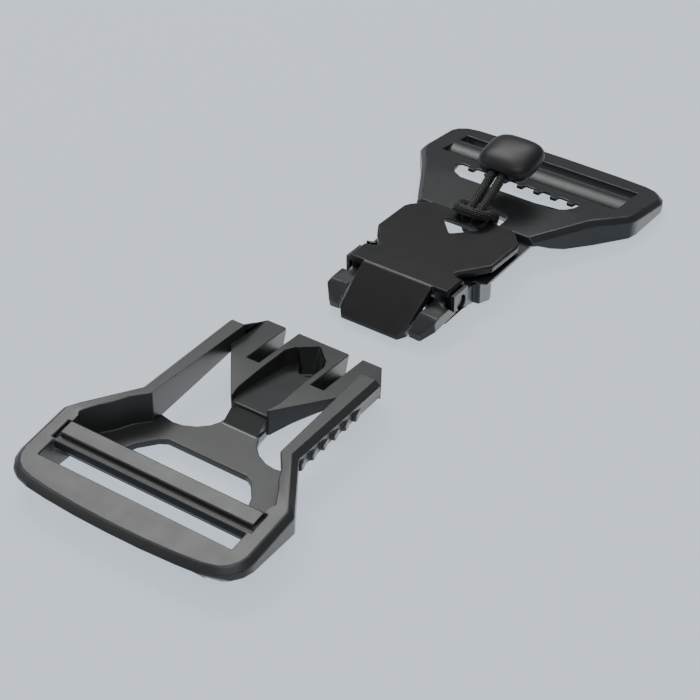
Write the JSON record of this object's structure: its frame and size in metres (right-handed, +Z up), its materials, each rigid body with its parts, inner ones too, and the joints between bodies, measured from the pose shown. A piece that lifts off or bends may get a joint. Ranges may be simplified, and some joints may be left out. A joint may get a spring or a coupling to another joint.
{
  "type": "magnetic side-release buckle",
  "caption": "Two-part webbing buckle shown open: a receiving half with side rails and strap bar, and a toothed plug half with a hinged release flap and cord pull.",
  "frame": {"origin": "centre of the footprint of both halves, on the surface that they lie on", "axes": "+X across the webbing, to the right seen from the receiving half's strap end; +Y from the receiving half's strap end to the plug half's strap end; +Z up"},
  "size_m": [0.053, 0.1512, 0.0182],
  "materials": {
    "black_nylon": "moulded nylon, fine satin",
    "pin_steel": "plain drawn pin",
    "black_cord": "braided cord",
    "grip_rubber": "soft matte"
  },
  "bodies": {
    "frame": {"female_body": "black_nylon", "male_frame": "black_nylon", "hinge_pin": "pin_steel"},
    "flap": {"flap": "black_nylon", "pull_cord": "black_cord", "pull_grip": "grip_rubber"}
  },
  "joints": [
    {"name": "flap_hinge", "type": "hinge", "parent": "frame", "child": "flap", "pos_m": [0, 0.01335, 0.0049], "axis": [1, 0, 0], "range_deg": [0, 20]}
  ]
}
